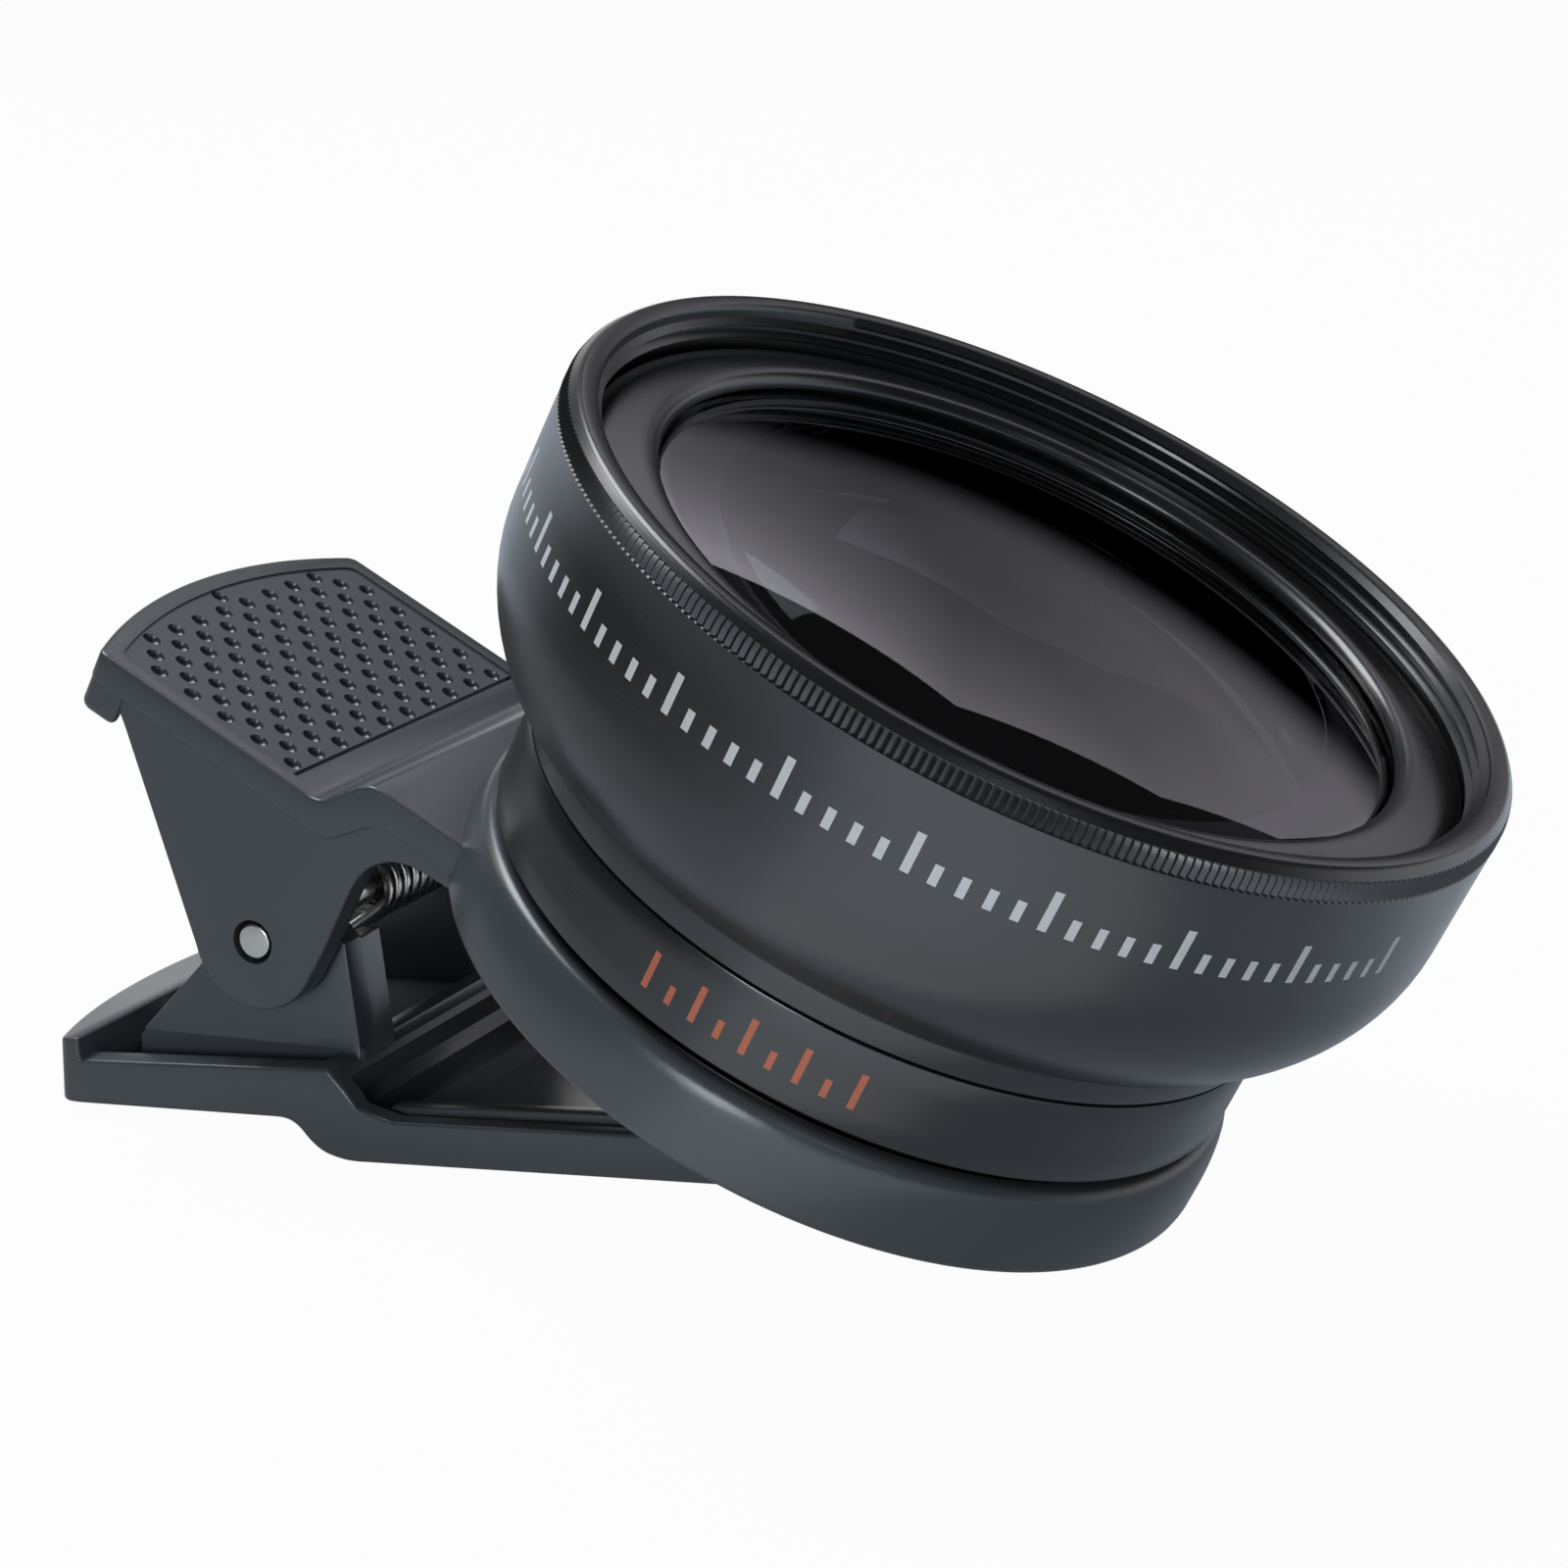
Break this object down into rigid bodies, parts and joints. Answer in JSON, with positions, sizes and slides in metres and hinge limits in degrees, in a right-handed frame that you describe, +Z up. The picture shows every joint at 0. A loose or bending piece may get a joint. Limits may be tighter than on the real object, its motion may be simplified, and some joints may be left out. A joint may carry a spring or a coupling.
{
  "type": "clip on phone lens",
  "caption": "Spring clip with a dimpled thumb pad and a thick carrier ring that holds a screw-in macro lens, on which a wide-angle lens with a knurled rim and domed front glass is screwed.",
  "frame": {"origin": "middle of the bounding box's footprint, on the table that the clip lies on", "axes": "+X forward from the thumb pad to the lens, +Y to the clip's far side along the pivot pin, +Z up; the lens axis leans 25.15 degrees forward of +Z in the XZ plane"},
  "size_m": [0.0804, 0.053, 0.0463],
  "materials": {
    "clip_plastic": "fine satin moulded black",
    "anodised_black": "satin black anodised",
    "soft_rubber": "matt",
    "bright_steel": "bright",
    "optical_glass": "polished, coated"
  },
  "bodies": {
    "lower_jaw": {"lower_jaw": "clip_plastic", "jaw_pad": "soft_rubber", "pivot_pin": "bright_steel", "torsion_spring": "bright_steel"},
    "upper_jaw": {"upper_jaw": "clip_plastic", "ring_cushion": "soft_rubber"},
    "macro_cell": {"macro_glass": "optical_glass", "macro_retaining_ring": "anodised_black"},
    "macro_barrel": {"macro_barrel": "anodised_black"},
    "wide_cell": {"front_glass": "optical_glass", "front_bezel": "anodised_black", "spacer_tube": "anodised_black", "rear_glass": "optical_glass", "rear_retaining_ring": "anodised_black"},
    "wide_barrel": {"wide_barrel": "anodised_black"}
  },
  "joints": [
    {"name": "clip_hinge", "type": "hinge", "parent": "lower_jaw", "child": "upper_jaw", "pos_m": [-0.02462, 0, 0.01159], "axis": [0, -1, 0], "range_deg": [0, 25], "stiffness_Nm_per_rad": 0.15, "springref_deg": -45.84, "deforming": ["torsion_spring"]},
    {"name": "macro_travel", "type": "slide", "parent": "upper_jaw", "child": "macro_cell", "axis": [0.425, 0, 0.9052], "range_m": [0, 0.00225]},
    {"name": "macro_turn", "type": "hinge", "parent": "macro_cell", "child": "macro_barrel", "pos_m": [0.00646, 0, 0.01388], "axis": [0.425, 0, 0.9052], "range_deg": [0, 1080]},
    {"name": "wide_travel", "type": "slide", "parent": "macro_barrel", "child": "wide_cell", "axis": [0.425, 0, 0.9052], "range_m": [0, 0.003]},
    {"name": "wide_turn", "type": "hinge", "parent": "wide_cell", "child": "wide_barrel", "pos_m": [0.01071, 0, 0.02293], "axis": [0.425, 0, 0.9052], "range_deg": [0, 1440]}
  ],
  "couplings": [
    {"joint": "macro_travel", "follows": "macro_turn", "m_per_rad": 0.00011936},
    {"joint": "wide_travel", "follows": "wide_turn", "m_per_rad": 0.00011936}
  ]
}
